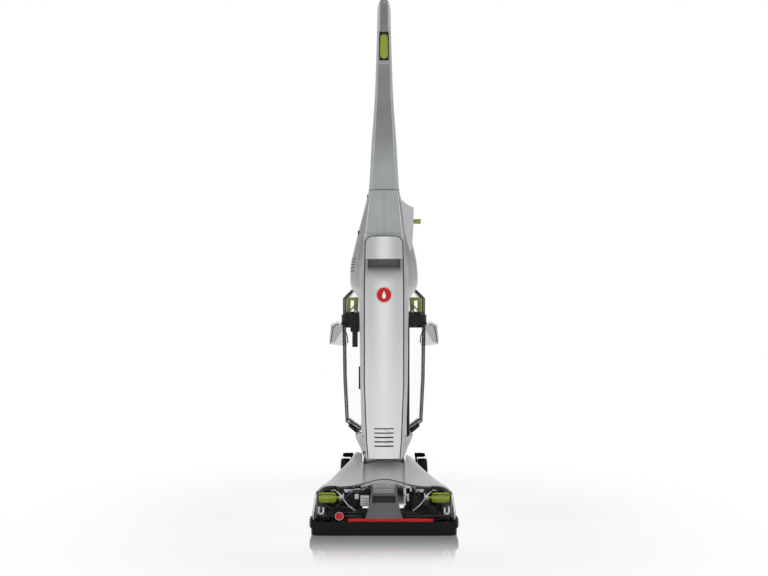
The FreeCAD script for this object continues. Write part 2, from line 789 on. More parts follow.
def wheel(side, sign):
    """A spoked rim that turns on its axle, and the tyre around it."""
    rim = new_body(f"wheel_rim_{side}")
    start = span(sign, "dims.wheel_inner_face", "dims.wheel_inner_face + dims.wheel_width")
    y, z = "dims.wheel_back", "dims.wheel_radius"
    disc = new_sketch(rim, "YZ_Plane", "disc", start)
    add_circle(disc, y, z, "dims.wheel_radius - dims.tyre_thickness", "rim")
    add_circle(disc, y, z, "dims.axle_radius + dims.running_gap", "bore")
    pad(rim, disc, "dims.wheel_width")
    outer_face = f"{sign} * (dims.wheel_inner_face + dims.wheel_width)"
    dish = new_sketch(rim, "YZ_Plane", "dish", outer_face)
    add_circle(dish, y, z, "dims.wheel_radius - dims.tyre_thickness - 5", "outside")
    add_circle(dish, y, z, 13, "hub")
    pocket(rim, dish, 7, "dish_hollow", reverse=sign < 0)

    tyre = new_body(f"tyre_{side}")
    ring = new_sketch(tyre, "YZ_Plane", "ring", start)
    add_circle(ring, y, z, "dims.wheel_radius", "outside")
    add_circle(ring, y, z, "dims.wheel_radius - dims.tyre_thickness", "inside")
    pad(tyre, ring, "dims.wheel_width")
    round_edges(tyre, 3, lambda e: abs(e.BoundBox.YLength - size("2 * dims.wheel_radius")) < 1)


def front_roller(side, sign):
    roller = new_body(f"front_roller_{side}")
    y, z = "-dims.roller_row", "dims.roller_radius"
    drum = new_sketch(roller, "YZ_Plane", "drum", f"{sign} * dims.roller_side")
    add_circle(drum, y, z, "dims.roller_radius", "drum")
    pad(roller, drum, 11, "drum_pad", both_ways=True)
    round_edges(roller, 2, lambda e: abs(e.BoundBox.YLength - size("2 * dims.roller_radius")) < 1)
    pin = new_sketch(roller, "YZ_Plane", "pin", f"{sign} * dims.roller_side")
    add_circle(pin, y, z, "dims.roller_pin_radius", "pin")
    pad(roller, pin, 19, "pin_pad", both_ways=True)


def axles_and_pins():
    """Each node holds a left and a right copy, as separate solids."""
    axle_low, axle_high = "dims.boss_inner - 1", "dims.wheel_inner_face + dims.wheel_width + 3"
    y, z = "dims.wheel_back", "dims.wheel_radius"
    axles, pins = [], []
    for side, sign in SIDES:
        rod = cylinder(f"axle_rod_{side}", "dims.axle_radius", f"({axle_high}) - ({axle_low})",
                       (span(sign, axle_low, axle_high), y, z), along="x")
        cap_low, cap_high = "dims.wheel_inner_face + dims.wheel_width + 0.4", axle_high
        cap = cylinder(f"axle_cap_{side}", 8, f"({cap_high}) - ({cap_low})",
                       (span(sign, cap_low, cap_high), y, z), along="x")
        axles.append(fuse(f"axle_{side}", rod, cap))
        low, high = "dims.drum_half_width - 5", "dims.arm_inner + 8.5"
        shank = cylinder(f"pivot_shank_{side}", "dims.pivot_pin_radius", f"({high}) - ({low})",
                         (span(sign, low, high), "dims.pivot_back", "dims.pivot_height"), along="x")
        head_low, head_high = "dims.arm_inner + 8.5", "dims.arm_inner + 11"
        head = cylinder(f"pivot_head_{side}", 10, f"({head_high}) - ({head_low})",
                        (span(sign, head_low, head_high), "dims.pivot_back", "dims.pivot_height"),
                        along="x")
        pins.append(fuse(f"pivot_pin_{side}", shank, head))
    for name, pair in (("wheel_axles", axles), ("pivot_pins", pins)):
        group = doc.addObject("Part::Compound", name)
        group.Links = pair
        piece(name, group)


def pedal(name, sign):
    """A foot pedal over a wheel, with a stub pin that turns in the chassis bracket."""
    body = new_body(name)
    back, height = "dims.pedal_hinge_back", "dims.pedal_hinge_height"
    inner, outer = "dims.arm_outer + 0.6", "dims.arm_outer + 24"
    arm_start = span(sign, inner, f"{inner} + 4")
    arm = new_sketch(body, "YZ_Plane", "arm", arm_start)
    add_outline(arm, [
        (f"{back} - 5", f"{height} - 4"), (f"{back} + 4", f"{height} - 5"),
        (f"{back} + 16", "dims.pedal_height - 3"), (f"{back} + 62", "dims.pedal_height"),
        (f"{back} + 62", "dims.pedal_height + 3"), (f"{back} - 3", "dims.pedal_height + 3")])
    pad(body, arm, 4, "arm_pad")
    plate = new_sketch(body, "XY_Plane", "plate", "dims.pedal_height")
    low_x, high_x = f"{sign} * ({inner})", f"{sign} * ({outer})"
    add_outline(plate, [
        (low_x, f"{back} + 14"), (f"{high_x} - {sign} * 6", f"{back} + 14"), (high_x, f"{back} + 24"),
        (high_x, f"{back} + 54"), (f"{high_x} - {sign} * 6", f"{back} + 62"), (low_x, f"{back} + 62")])
    pad(body, plate, 3, "plate_pad")
    pin_low, pin_high = "dims.boss_inner + 1", f"{inner} + 1"
    pin = new_sketch(body, "YZ_Plane", "pin", span(sign, pin_low, pin_high))
    add_circle(pin, back, height, "dims.pedal_pin_radius", "pin")
    pad(body, pin, f"({pin_high}) - ({pin_low})", "pin_pad")


def window_latch(side, sign):
    """A ribbed barrel that is turned by hand to free the window."""
    centre, length = "dims.latch_centre", "dims.latch_length"
    start = span(sign, f"{centre} - {length} / 2", f"{centre} + {length} / 2")
    y, z = "-dims.latch_row", "dims.latch_height"
    barrel = cylinder(f"latch_barrel_{side}", "dims.latch_radius", length, (start, y, z), along="x")
    ribs = []
    count, rib_radius = 10, 1.1
    for i in range(count):
        angle = 2 * math.pi * i / count
        out = size("dims.latch_radius")
        ribs.append(cylinder(
            f"latch_rib_{side}_{i}", rib_radius, f"{length} - 6",
            (f"({start}) + 3", f"{y} + {out * math.cos(angle)}", f"{z} + {out * math.sin(angle)}"),
            along="x"))
    spindle_low, spindle_high = f"{centre} - {length} / 2 - 7", f"{centre} + {length} / 2"
    spindle = cylinder(f"latch_spindle_{side}", 3, f"{length} + 7",
                       (span(sign, spindle_low, spindle_high), y, z), along="x")
    piece(f"window_latch_{side}", fuse(f"latch_{side}", barrel, spindle, *ribs))


def base_screws():
    """Screws from below that hold the hood to the chassis, all in one node."""
    places = ((116, -66.5), (78, -36), (44, 6))
    head_bottom, head_height, head_radius, shank_radius, shank_length = 7.5, 2.2, 3.4, 1.6, 12
    screws = []
    for number, (x, y) in enumerate(places):
        for side, sign in SIDES:
            head = cylinder(f"screw_head_{side}_{number}", head_radius, head_height,
                            (sign * x, y, head_bottom))
            shank = cylinder(f"screw_shank_{side}_{number}", shank_radius, shank_length,
                             (sign * x, y, head_bottom + head_height))
            screws.append(fuse(f"screw_{side}_{number}", head, shank))
    group = doc.addObject("Part::Compound", "base_screws")
    group.Links = screws
    piece("base_screws", group)


def tube_loft(sections):
    """A loft through rectangles (centre, half width, half depth, direction of the depth)."""
    wires = []
    for (x, y, z), half_width, half_depth, depth in sections:
        centre, across, along = V(x, y, z), V(half_width, 0, 0), V(*depth).normalize() * half_depth
        corners = [centre + across + along, centre - across + along,
                   centre - across - along, centre + across - along]
        wires.append(Part.makePolygon(corners + corners[:1]))
    return loft(wires, ruled=True)


def nozzle_duct():
    """Takes the dirty water from behind the brushes up under the window and back to the neck."""
    wall = 2
    route = [
        # centre, half width, half depth, direction of the depth
        ((0, -159, 7.5), 62, 6, (0, 1, 0)),
        ((0, -159, 14), 60, 6, (0, 1, 0)),
        ((0, -157, 30), 40, 6.5, (0, 1, -0.1)),
        ((0, -146, 42), 34, 7, (0, 1, -0.5)),
        ((0, -128, 54), 30, 8, (0, 0.7, -1)),
        ((0, -112, 68), 27.5, 10, (0, 0.3, -1)),
        ((0, -84, 80), 26, 12, (0, 0.2, -1)),
        ((0, -56, 84), 22, 12, (0, 0, -1)),
        ((0, -34, 80), 18, 13, (0, 0, -1)),
    ]
    last = len(route) - 1
    bore = []
    for i, ((x, y, z), half_width, half_depth, depth) in enumerate(route):
        centre = (x, y + (i == last), z - (i == 0))   # runs out of both ends
        bore.append((centre, half_width - wall, half_depth - wall, depth))
    duct = tube_loft(route).cut(tube_loft(bore))
    return solid_feature("nozzle_duct", biggest(duct))


def build_base():
    base_chassis()
    nozzle_hood()
    nozzle_window()
    front_bumper()
    squeegee()
    spin_brushes()
    motor_pinion()
    brush_plate()
    gear_cover()
    brush_motor()
    spray_bar()
    nozzle_duct()
    axles_and_pins()
    for side, sign in SIDES:
        wheel(side, sign)
        front_roller(side, sign)
        window_latch(side, sign)
    pedal("release_pedal", -1)
    pedal("power_pedal", 1)
    base_screws()


# ---------------------------------------------------------------------------------------------
# Upright: body shells
# ---------------------------------------------------------------------------------------------

# The screws through the left half of the body: distance of the head from the middle, y and z.
BODY_SCREWS = ((34.5, -8, 701), (56, -8, 623), (50, -8, 205), (45, -36, 150))
BODY_SCREW_HEAD = 3.2
BODY_SCREW_SHANK = 1.5

# Horizontal sections of the upright's body: z, half width, front y, back y, corner radius.
NECK_SECTIONS = (
    (100, 44.8, 6, 98, 6),
    (141, 44.8, 2, 102, 8),
)
FOOT_SECTIONS = (
    (139, 44.8, -30, 102, 20),
    (160, 53, -30, 108, 22),
    (176, 61, -30, 113, 24),
    (183, 62.5, -30, 114, 24),
)
COLUMN_SECTIONS = (
    (170, 49, -30, 10, 13),
    (217, 49, -30, 10, 13),
    (300, 51.5, -30, 10, 13),
    (400, 52.5, -30, 10, 13),
    (468, 54, -30, 12, 14),
    (484, 58, -30, 18, 17),
    (496, 66, -30, 28, 22),
    (508, 72.5, -30, 36, 26),
    (533, 73.5, -30, 36, 28),
    (563, 70.5, -30, 36, 28),
    (600, 62, -29, 35, 27),
    (640, 52, -27, 32, 24),
    (680, 41.5, -24, 24, 20),
    (714, 33, -20, 13, 13),
)
# The straight rib down the front, which the front panel sits on.
RIB_SECTIONS = (
    (139, 38.5, -44, 2, 4),
    (175, 41.5, -44, 2, 4.5),
    (300, 46, -44, 2, 5),
    (500, 46.5, -44, 2, 5),
    (613, 44, -44, 2, 5),
    (619, 43.5, -44, 2, 5),
    (660, 39.5, -38, 2, 6),
    (690, 35.5, -32, 4, 8),
    (714, 33, -27, 10, 10),
)


def refined(sections, steps=2):
    """Adds sections between the given ones, on a smooth curve through each of their numbers."""
    result = []
    padded = [sections[0], *sections, sections[-1]]
    for before, start, end, after in zip(padded, padded[1:], padded[2:], padded[3:]):
        for step in range(steps):
            t = step / steps
            result.append(tuple(
                0.5 * (2 * q + (r - p) * t + (2 * p - 5 * q + 4 * r - s) * t * t
                       + (3 * q - p - 3 * r + s) * t * t * t)
                for p, q, r, s in zip(before, start, end, after)))
    return result + [sections[-1]]


def section_loft(sections, inset=0):
    """A body through horizontal sections. `inset` shrinks them and closes the two ends."""
    last = len(sections) - 1
    wires = []
    for i, (z, half_width, front, back, corner) in enumerate(sections):
        z += inset * ((i == 0) - (i == last))
        wires.append(rounded_wire(
            half_width - inset, front + inset, back - inset, z, max(corner - inset, 2)))
    return loft(wires, ruled=True)


def pivot_drum(inset=0):
    """The drum between the ears of the chassis, on which the upright tilts."""
    half = size("dims.drum_half_width") - inset
    centre = (size("dims.pivot_back"), size("dims.pivot_height"))
    return rod_shape(size("dims.drum_radius") - inset, (-half, *centre), (half, *centre))


def selector_pod(inset=0):
    """The box on the upper right side that carries the mode selector."""
    points = [(36, 584 + inset), (60 - inset, 584 + inset), (62.5 - inset, 622),
              (63.5 - inset, 640), (64 - inset, 677 - inset), (55, 680.5 - inset),
              (46, 686 - inset), (39, 693 - inset), (30, 693 - inset)]
    return prism(points, -24 + inset, 44 - 2 * inset, "y")


def body_outside():
    neck = section_loft(NECK_SECTIONS)
    foot = section_loft(FOOT_SECTIONS)
    column = section_loft(refined(COLUMN_SECTIONS))
    rib = section_loft(refined(RIB_SECTIONS))
    return joined(neck, foot, column, rib, pivot_drum(), selector_pod())


def body_inside():
    wall = size("dims.wall")
    (low, *low_plan), (high, *high_plan) = NECK_SECTIONS
    neck = section_loft(((low - wall, *low_plan), (high + 2 * wall, *high_plan)), wall)
    foot = section_loft(FOOT_SECTIONS, wall)
    (low, *low_plan), *others = refined(COLUMN_SECTIONS)
    column = section_loft(((low - wall, *low_plan), *others), wall)
    rib = section_loft(refined(RIB_SECTIONS), wall)
    return joined(neck, foot, column, rib, pivot_drum(wall), selector_pod(wall))


def panel_opening():
    """The openings behind the front panel: a tall one, and a wider one for the carry grip."""
    inner = size("dims.panel_rim_inner")
    low = size("dims.panel_bottom + 8")
    grip = size("dims.grip_half_width + dims.wall + dims.body_gap")
    grip_low, grip_high = size("dims.grip_foot - 11"), size("dims.panel_top - 13")
    front, back = -60, -35
    tall = box_shape((-inner, front, low), (inner, back, grip_low + 1))
    return tall.fuse(box_shape((-grip, front, grip_low), (grip, back, grip_high)))


def tenon_plan():
    """The half width, front and back of the tenon that joins the handle to the body."""
    return tuple(size(f"dims.tenon_{name}") for name in ("half_width", "front", "back"))


def body_shells():
    """The left and right halves of the upright's body, which meet at X = 0."""
    far = 2000
    wall = size("dims.wall")
    body = body_outside().cut(body_inside())
    pivot = (size("dims.pivot_back"), size("dims.pivot_height"))
    half = size("dims.drum_half_width")
    bosses = []
    for sign in (-1, 1):
        bosses.append(rod_shape(
            size("dims.pivot_pin_radius") + 4, (sign * (half - 6), *pivot), (sign * half, *pivot)))
    body = body.fuse(bosses)
    bore = rod_shape(size("dims.pivot_pin_radius + dims.running_gap"), (-far, *pivot), (far, *pivot))
    air_inlet = rod_shape(size("dims.bellows_radius"), (0, -10, size("dims.bellows_height")),
                          (0, 12, size("dims.bellows_height")))
    duct_x, duct_y = size("dims.duct_inner"), size("dims.duct_front")
    duct_hole = box_shape((duct_x + wall, duct_y + wall, 170),
                          (size("dims.duct_outer") - wall, size("dims.duct_back") - wall, 190))
    selector_hole = rod_shape(size("dims.selector_radius + dims.running_gap"),
                              (50, 0, size("dims.selector_height")), (70, 0, size("dims.selector_height")))
    gap, top = size("dims.body_gap"), size("dims.neck_top")
    tenon_half, tenon_front, tenon_back = tenon_plan()
    neck_hole = box_shape((-tenon_half - gap, tenon_front - gap, top - 9),
                          (tenon_half + gap, tenon_back + gap, top + 6))
    valve_z = size("dims.valve_height")
    tank_valve_hole = rod_shape(size("dims.valve_radius"), (0, 28, valve_z), (0, 44, valve_z))
    vent_slots = [box_shape((-80, -14 + 6 * i, 535), (-60, -11 + 6 * i, 560)) for i in range(4)]
    body = body.cut([panel_opening(), bore, air_inlet, duct_hole, selector_hole, neck_hole,
                     tank_valve_hole] + vent_slots)
    right_half = box_shape((0, -far, -far), (far, far, far))
    solid_feature("body_shell_right", biggest(body.common(right_half)))
    recesses = []
    for x, y, z in BODY_SCREWS:
        recesses.append(rod_shape(BODY_SCREW_HEAD + 0.1, (-90, y, z), (3 - x, y, z)))
        recesses.append(rod_shape(BODY_SCREW_SHANK + 0.1, (-90, y, z), (0, y, z)))
    left = body.common(mirror_x(right_half)).cut(recesses)
    solid_feature("body_shell_left", biggest(left))


def panel_outline(out=0):
    """The front panel seen from the front, as (x, z) corners and their rounding radius."""
    low, high = size("dims.panel_bottom"), size("dims.panel_top")
    widths = ((low, 33), (175, 36), (300, 41), (500, 41), (high, 39))
    right = [V(w + out, 0, z) for z, w in widths]
    right[0].z -= out
    right[-1].z += out
    left = [V(-p.x, 0, p.z) for p in reversed(right)]
    return right + left


def panel_prism(front, back, out=0):
    """The panel's outline between two y planes, with rounded top corners."""
    points = [V(p.x, front, p.z) for p in panel_outline(out)]
    solid = Part.Face(Part.makePolygon(points + points[:1])).extrude(V(0, back - front, 0))
    top = size("dims.panel_top") + out
    corners = [e for e in solid.Edges
               if abs(e.Vertexes[0].Z - top) < 0.01 and abs(e.Vertexes[-1].Z - top) < 0.01
               and abs(e.Vertexes[0].X - e.Vertexes[-1].X) < 0.01]
    return solid.makeFillet(size("dims.panel_corner"), corners)


def crown_cylinder(centre_y, low, high):
    """A long upright cylinder whose front gives the panel its crown."""
    edge_y, half = size("dims.panel_edge_y"), size("dims.panel_rim_outer")
    rise = edge_y - centre_y
    radius = (half ** 2 + rise ** 2) / (2 * rise)
    return Part.makeCylinder(radius, high - low, V(0, centre_y + radius, low))


def grip_space(grow=0):
    """The room in the carry grip: over a round shoulder, and up behind the lip."""
    half = size("dims.grip_half_width") + grow
    radius, centre_y, centre_z = 30 - grow, -27, size("dims.grip_foot - 5")
    front, deep, ceiling = -90, -18 + grow, size("dims.panel_top - 22") + grow
    slope = radius * math.sqrt(0.5)
    foot = V(-half, centre_y - radius, centre_z)
    crest = V(-half, centre_y, centre_z + radius)
    shoulder = Part.Arc(foot, V(-half, centre_y - slope, centre_z + slope), crest)
    corners = [crest, V(-half, deep, centre_z + radius), V(-half, deep, ceiling),
               V(-half, front, ceiling), V(-half, front, centre_z), foot]
    edges = [Part.makeLine(a, b) for a, b in zip(corners, corners[1:])]
    return Part.Face(Part.Wire([shoulder.toShape()] + edges)).extrude(V(2 * half, 0, 0))


def front_panel():
    """A crowned cover with vents below and a carry grip above, over the front of the column."""
    wall = size("dims.wall")
    low, high = size("dims.panel_bottom"), size("dims.panel_top")
    crown, seat = size("dims.panel_crown_y"), -size("dims.column_front")
    far = 100
    solid = panel_prism(-far, seat)
    solid = solid.common(crown_cylinder(crown, low - 1, high + 1))
    hollow = panel_prism(-far, seat + 1, out=-wall)
    hollow = hollow.common(crown_cylinder(crown + wall, low - 1, high + 1))
    panel = solid.cut(hollow)
    # the rim that plugs the opening in the body
    inner = size("dims.panel_rim_inner") - 0.4
    plug_low, plug_high = low + 8.4, size("dims.grip_foot - 12")
    plug = box_shape((-inner, seat - 4, plug_low), (inner, seat + 3, plug_high))
    plug = plug.cut(box_shape((-inner + wall, -far, plug_low + wall),
                              (inner - wall, far, plug_high - wall)))
    # the carry grip: its mouth is open below the lip, and its pocket is behind the wall above it
    lip = size("dims.grip_lip")
    around = grip_space(wall).common(crown_cylinder(crown, low - 1, high + 1))
    mouth = grip_space().common(box_shape((-far, -far, low), (far, far, lip)))
    pocket_room = grip_space().common(crown_cylinder(crown + wall, low - 1, high + 1))
    panel = panel.fuse([plug, around]).cut([mouth, pocket_room])
    slots = []
    pitch, slot_half, slot_height = 9.3, 20.5, 2.6
    for i in range(5):
        z = size("dims.vent_low") + i * pitch
        slots.append(box_shape((-slot_half, -far, z - slot_height / 2),
                               (slot_half, seat - 3, z + slot_height / 2)))
    panel = panel.cut(slots)
    return solid_feature("front_panel", biggest(panel))


def badge():
    """A plain round disc in a raised ring, without any mark. Its back follows the panel."""
    z, front, radius = size("dims.badge_height"), size("dims.panel_crown_y"), size("dims.badge_radius")
    proud, ring, recess = 1.5, 1.6, 0.6
    disc = rod_shape(radius, (0, front - proud, z), (0, front + 4, z))
    face = rod_shape(radius - ring, (0, front - proud - 1, z), (0, front - proud + recess, z))
    return solid_feature("badge", disc.cut([face, crown_cylinder(front, z - 40, z + 40)]))


# ---------------------------------------------------------------------------------------------
# Upright: suction motor, ducts and the water tube
# ---------------------------------------------------------------------------------------------

def suction_motor():
    y = "dims.pivot_back"
    can_radius, can_bottom, cap_radius, cap_top_radius, cap_height, bore_depth = 33, 92, 20, 30, 8, 30
    can = cylinder("suction_can", can_radius, f"dims.suction_top - {can_bottom}", (0, y, can_bottom))
    cap = cone("suction_cap", cap_radius, cap_top_radius, cap_height, (0, y, can_bottom - cap_height))
    whole = fuse("suction_body", can, cap)
    shaft_bore = cylinder("suction_bore", "dims.fan_shaft_radius + dims.running_gap", bore_depth + 10,
                          (0, y, f"dims.suction_top - {bore_depth}"))
    piece("suction_motor", cut("suction_motor_bored", whole, shaft_bore))


def fan_housing():
    """A round chamber on the motor that the impeller turns in, with an outlet to the right."""
    body = new_body("fan_housing")
    profile = new_sketch(body, "XZ_Plane", "profile", "-dims.pivot_back")
    bottom, top, radius = "dims.suction_top", "dims.fan_top", "dims.fan_housing_radius"
    add_outline(profile, [
        (5, bottom), (radius, bottom), (radius, top), (12, top), (12, f"{top} - 2"),
        (f"{radius} - 2.5", f"{top} - 2"), (f"{radius} - 2.5", f"{bottom} + 2"),
        (5, f"{bottom} + 2")])
    made = body.newObject("PartDesign::Revolution", "fan_housing_turned")
    made.Profile = profile
    made.ReferenceAxis = (profile, ["V_Axis"])
    made.Angle = 360
    doc.recompute()


def fan_impeller():
    """A disc with curved blades on the motor's shaft."""
    y = size("dims.pivot_back")
    bottom = size("dims.suction_top") + 4
    radius, height = size("dims.fan_housing_radius") - 5, size("dims.fan_top - dims.suction_top") - 9
    plate = Part.makeCylinder(radius, 2, V(0, y, bottom))
    hub = Part.makeCylinder(7, height, V(0, y, bottom))
    shaft = Part.makeCylinder(size("dims.fan_shaft_radius"), 26, V(0, y, bottom - 22))
    blades, count, thickness, lean = [], 9, 1.6, 35
    for i in range(count):
        blade = box_shape((6, -thickness / 2, 0), (radius - 4, thickness / 2, height))
        blade.rotate(V(6, 0, 0), V(0, 0, 1), lean)
        blade.translate(V(0, y, bottom))
        blade.rotate(V(0, y, 0), V(0, 0, 1), 360 * i / count)
        blades.append(blade)
    rotor = joined(plate, hub, shaft, *blades)
    limit = Part.makeCylinder(radius, 60, V(0, y, bottom - 22))
    return solid_feature("fan_impeller", rotor.common(limit))


def suction_duct():
    """Carries air between the tank's lid and the fan, up the back of the column."""
    wall = 2
    x_low, x_high = size("dims.duct_inner"), size("dims.duct_outer")
    y_low, y_high = size("dims.duct_front"), size("dims.duct_back")
    bottom, top = size("dims.foot_ledge"), size("dims.duct_top")
    mouth_low, mouth_high = top - 28, top - 14
    outer = box_shape((x_low, y_low, bottom), (x_high, y_high, top))
    slope = prism([(y_low - 1, top - 12), (y_low - 1, top + 1), (y_low + 13, top + 1)],
                  x_low - 1, x_high - x_low + 2, "x")
    outer = outer.cut(slope)
    upright_edges = [e for e in outer.Edges if len(e.Vertexes) == 2 and e.BoundBox.ZLength > 100]
    outer = outer.makeFillet(4, upright_edges)
    inner = box_shape((x_low + wall, y_low + wall, bottom - 1),
                      (x_high - wall, y_high - wall, mouth_high))
    mouth = box_shape((x_low + wall, y_high - wall - 1, mouth_low),
                      (x_high - wall, y_high + 1, mouth_high))
    return solid_feature("suction_duct", biggest(outer.cut([inner, mouth])))


def bent_path(points, radius):
    """Straight runs through the points, joined by arcs of one radius."""
    points = [V(*p) for p in points]
    edges, start = [], points[0]
    for before, corner, after in zip(points, points[1:], points[2:]):
        inward, outward = (before - corner).normalize(), (after - corner).normalize()
        half_turn = inward.getAngle(outward) / 2
        reach = radius / math.tan(half_turn)
        arc_start, arc_end = corner + inward * reach, corner + outward * reach
        bisector = (inward + outward).normalize()
        centre = corner + bisector * (radius / math.sin(half_turn))
        middle = centre - bisector * radius
        edges.append(Part.LineSegment(start, arc_start).toShape())
        edges.append(Part.Arc(arc_start, middle, arc_end).toShape())
        start = arc_end
    edges.append(Part.LineSegment(start, points[-1]).toShape())
    return Part.Wire(edges)


def swept_tube(points, bend, radius, bore=0):
    path = bent_path(points, bend)
    start, direction = V(*points[0]), V(*points[1]) - V(*points[0])
    section = Part.Wire(Part.makeCircle(radius, start, direction))
    tube = path.makePipeShell([section], True, False)
    if bore:
        core = path.makePipeShell([Part.Wire(Part.makeCircle(bore, start, direction))], True, False)
        tube = tube.cut(core)
    return tube


def solution_tube():
    """The clean water line, from the valve under the solution tank down inside the column."""
    radius = size("dims.water_tube_radius")
    route = [(0, 31, size("dims.valve_height")), (0, 14, size("dims.valve_height")),
             (-22, -16, 500), (-25, -30, 440), (-25, -30, 230), (-25, -26, 180), (-25, 12, 150),
             (-25, 12, 115)]
    return solid_feature("solution_tube", swept_tube(route, 18, radius, radius - 1.5))


def neck_bellows():
    """The flexible neck between the nozzle duct and the drum. It bends as the upright tilts."""
    radius, z = size("dims.bellows_radius"), size("dims.bellows_height")
    start, end = size("dims.bellows_start"), size("dims.bellows_end")
    ridges, groove = 6, 1.6
    pitch = (end - start) / ridges
    outline = [(start, 0), (start, radius)]
    for i in range(ridges):
        y = start + i * pitch
        outline += [(y + pitch * 0.25, radius), (y + pitch * 0.5, radius - groove),
                    (y + pitch * 0.75, radius), (y + pitch, radius)]
    outline.append((end, 0))
    distinct = [p for i, p in enumerate(outline) if p != outline[i - 1]]
    half = Part.Face(Part.makePolygon([V(0, y, z + r) for y, r in distinct + distinct[:1]]))
    bellows = half.revolve(V(0, 0, z), V(0, 1, 0), 360)
    bore = rod_shape(radius - 3, (0, start - 1, z), (0, end + 1, z))
    return solid_feature("neck_bellows", bellows.cut(bore))


# ---------------------------------------------------------------------------------------------
# Upright: handle, trigger, selector, cord fittings
# ---------------------------------------------------------------------------------------------

# Sections of the handle: z, half width, centre y and half depth.
HANDLE_SECTIONS = (
    (714, 32.7, -8, 19),
    (745, 30.6, -8, 18.5),
    (804, 27.6, -8, 17.5),
    (860, 23.6, -7, 16.5),
    (920, 19.7, -6, 15.5),
    (989, 17.2, -3, 15),
    (1030, 16.0, 3, 14.5),
    (1070, 15.2, 14, 14),
    (1105, 14.6, 30, 13.5),
    (1117, 14.2, 37.5, 13),
    (1127, 12.8, 44, 12),
    (1133, 11, 48, 10.5),
    (1136.5, 9, 50.5, 9),
)


def handle_section(z, half_width, centre_y, half_depth, lean):
    """An eight-sided section with a flat front and back, tilted about X by `lean`."""
    flat, edge = 0.76 * half_width, 0.42 * half_depth
    corners = [(flat, -half_depth), (half_width, -edge), (half_width, edge), (flat, half_depth),
               (-flat, half_depth), (-half_width, edge), (-half_width, -edge), (-flat, -half_depth)]
    points = []
    for x, depth in corners:
        points.append(V(x, centre_y + depth * math.cos(lean), z - depth * math.sin(lean)))
    return Part.makePolygon(points + points[:1])


def handle_solid(inset=0, high=None):
    """The handle as one solid. With an inset, it is the space inside."""
    chosen = [s for s in refined(HANDLE_SECTIONS) if s[0] <= (high or s[0])]
    wires = []
    for i, (z, half_width, centre_y, half_depth) in enumerate(chosen):
        neighbour = chosen[min(i + 1, len(chosen) - 1)]
        previous = chosen[max(i - 1, 0)]
        lean = math.atan2(neighbour[2] - previous[2], neighbour[0] - previous[0])
        if i == 0:
            lean = 0
        wires.append(handle_section(z, half_width - inset, centre_y, half_depth - inset, lean))
    return loft(wires, ruled=True)


def handle_split(side):
    """The half space in front of or behind the handle's middle surface."""
    far = 400
    line = [(centre_y, z) for z, _, centre_y, _ in HANDLE_SECTIONS]
    last_y, last_z = line[-1]
    line = [(line[0][0], 650)] + line + [(last_y + 26, last_z + 40)]
    edge = -far if side == "front" else far
    return prism(line + [(edge, last_z + 40), (edge, 650)], -200, 400, "x")


def handle_halves():
    """The front and rear halves of the handle. The rear one has the tenon that fits the body."""
    wall = size("dims.wall")
    tip_radius, tip_y = 9.5, 52
    tip = Part.makeSphere(tip_radius, V(0, tip_y, size("dims.grip_top") - tip_radius))
    solid = handle_solid().fuse(tip)
    shell = solid.cut(handle_solid(wall, high=1105))
    low, high = size("dims.trigger_low"), size("dims.trigger_high")
    slot_half = size("dims.trigger_half_width + 0.7")
    slot = box_shape((-slot_half, -60, low - 2), (slot_half, 22, high + 2))
    cheeks = both_sides((slot_half - 0.5, -30, low - 4), (slot_half + wall, 4, high + 2))
    pin_y, pin_z = size("dims.trigger_pin_y"), size("dims.trigger_pin_z")
    pin_bore = rod_shape(size("dims.trigger_pin_radius"), (-12, pin_y, pin_z), (12, pin_y, pin_z))
    front = shell.common(handle_split("front")).fuse(
        cheeks.common(solid).common(handle_split("front")))
    front = front.cut([slot, pin_bore])
    solid_feature("handle_front", biggest(front.removeSplitter()))

    foot = size("dims.neck_top")
    floor = handle_solid(wall, high=804).common(box_shape((-60, -60, foot), (60, 60, foot + 3)))
    tenon_wall = 3
    half, tenon_front, tenon_back = tenon_plan()
    tenon = box_shape((-half, tenon_front, foot - 24), (half, tenon_back, foot + 1))
    room_low = (tenon_wall - half, tenon_front + tenon_wall, foot - 34)
    room_high = (half - tenon_wall, tenon_back - tenon_wall, foot + 10)
    passage = box_shape(room_low, room_high)
    hook_z, back = size("dims.upper_hook_height"), 40
    hook_bore = rod_shape(3 + size("dims.running_gap"), (0, 0, hook_z), (0, back, hook_z))
    gland_z = size("dims.gland_height")
    cord_bore = rod_shape(size("dims.gland_seat_radius"), (0, 0, gland_z), (0, back, gland_z))
    _, screw_y, screw_z = BODY_SCREWS[0]
    screw_bore = rod_shape(BODY_SCREW_SHANK, (-40, screw_y, screw_z), (40, screw_y, screw_z))
    rear = shell.common(handle_split("rear")).fuse([floor.cut(passage), tenon.cut(passage)])
    rear = rear.cut([hook_bore, cord_bore, screw_bore])
    solid_feature("handle_rear", biggest(rear.removeSplitter()))


def trigger():
    """A finger lever in the front of the grip. It turns on a pin at its lower end."""
    body = new_body("trigger")
    low, high, half = "dims.trigger_low", "dims.trigger_high", "dims.trigger_half_width"
    profile = new_sketch(body, "YZ_Plane", "profile")
    add_outline(profile, [
        (-18, f"{low} + 1"), (-19.5, f"{low} + 8"), (-7.5, f"{high} - 8"), (-4, f"{high} - 1.5"),
        (1, f"{high} - 2"), (-5, f"{high} - 16"), (-8, f"{low} + 14"), (-6, f"{low} + 9"),
        (-7, f"{low} + 1")])
    pad(body, profile, f"2 * {half}", "lever", both_ways=True)
    bore = new_sketch(body, "YZ_Plane", "bore")
    add_circle(bore, "dims.trigger_pin_y", "dims.trigger_pin_z",
               "dims.trigger_pin_radius + dims.running_gap", "pin")
    pocket(body, bore, f"2 * {half} + 2", "pin_bore", both_ways=True)


